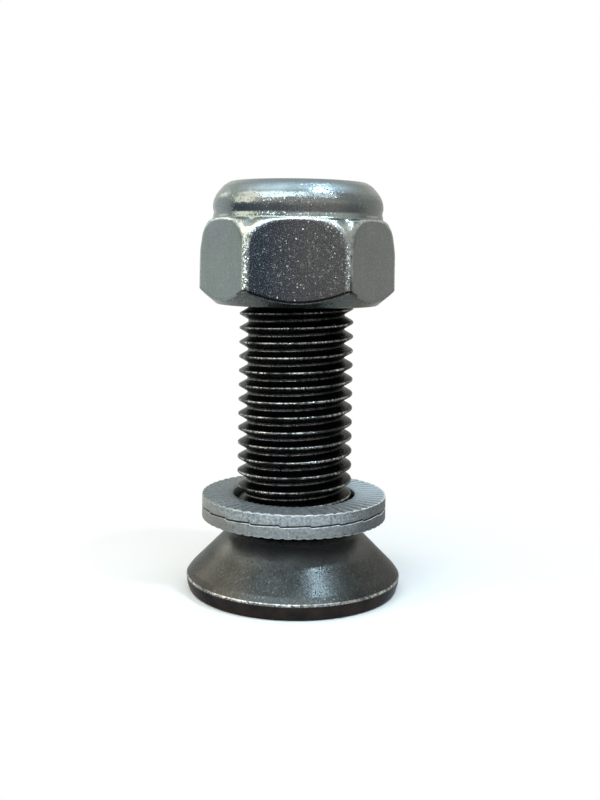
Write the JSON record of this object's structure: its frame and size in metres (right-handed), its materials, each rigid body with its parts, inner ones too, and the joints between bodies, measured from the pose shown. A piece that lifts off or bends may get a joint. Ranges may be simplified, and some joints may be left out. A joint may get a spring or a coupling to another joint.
{
  "type": "countersunk bolt with lock nut and wedge washers",
  "caption": "Countersunk socket bolt standing on its head, with a pair of wedge-locking washers under a bare thread and a nylon-insert lock nut that screws along its tip.",
  "frame": {"origin": "centre of the head's flat face, which the bolt stands on", "axes": "+Z along the bolt from its head to its tip, -Y out of one flat of the nut, +X out of one corner of the nut"},
  "size_m": [0.0296, 0.0296, 0.0567],
  "materials": {
    "black_steel": "blackened steel, lightly oiled",
    "zinc_flake": "matte zinc flake",
    "zinc_plate": "bright zinc plate",
    "nylon": "plain nylon"
  },
  "bodies": {
    "bolt": {"bolt": "black_steel", "lower_wedge_washer": "zinc_flake", "upper_wedge_washer": "zinc_flake"},
    "locking_ring": {"nylon_ring": "nylon"},
    "nut": {"nut_body": "zinc_plate"}
  },
  "joints": [
    {"name": "nut_travel", "type": "slide", "parent": "bolt", "child": "locking_ring", "axis": [0, 0, 1], "range_m": [-0.0263, 0.012]},
    {"name": "nut_turn", "type": "hinge", "parent": "locking_ring", "child": "nut", "pos_m": [0, 0, 0.0395], "axis": [0, 0, 1], "range_deg": [-4734, 2160]}
  ],
  "couplings": [
    {"joint": "nut_travel", "follows": "nut_turn", "m_per_rad": 0.00031831}
  ]
}
